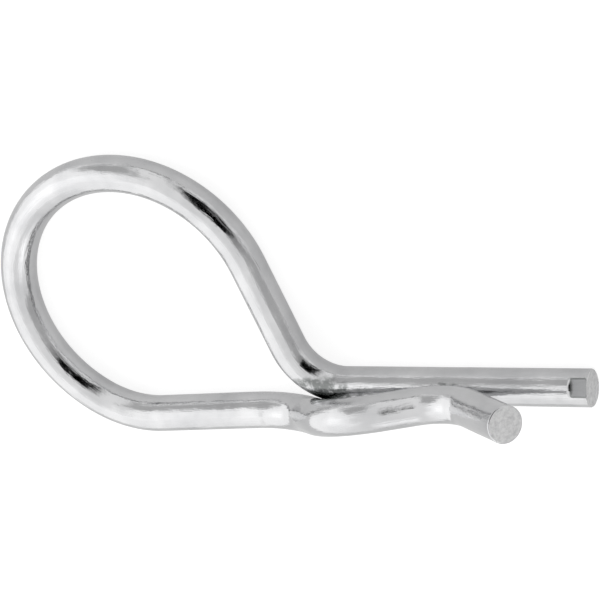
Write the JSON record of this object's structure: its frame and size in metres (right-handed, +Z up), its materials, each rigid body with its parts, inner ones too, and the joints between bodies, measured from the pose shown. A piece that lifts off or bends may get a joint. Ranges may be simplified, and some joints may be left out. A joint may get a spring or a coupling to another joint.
{
  "type": "hitch r clip pin",
  "caption": "Bent spring wire hitch clip with a round loop, a straight leg and a wavy leg that springs down onto it.",
  "frame": {"origin": "middle of the part's outline in X and Y, at the height of the surface that the loop and the straight leg lie on", "axes": "+X along the straight leg towards its sheared end, +Y from the straight leg across the loop, +Z up from the flat loop towards the crest of the wavy leg"},
  "size_m": [0.0762, 0.0376, 0.0152],
  "materials": {
    "zinc_wire": "bright zinc plate over drawn spring wire"
  },
  "bodies": {
    "root": {"clip_wire": "zinc_wire"}
  },
  "joints": []
}
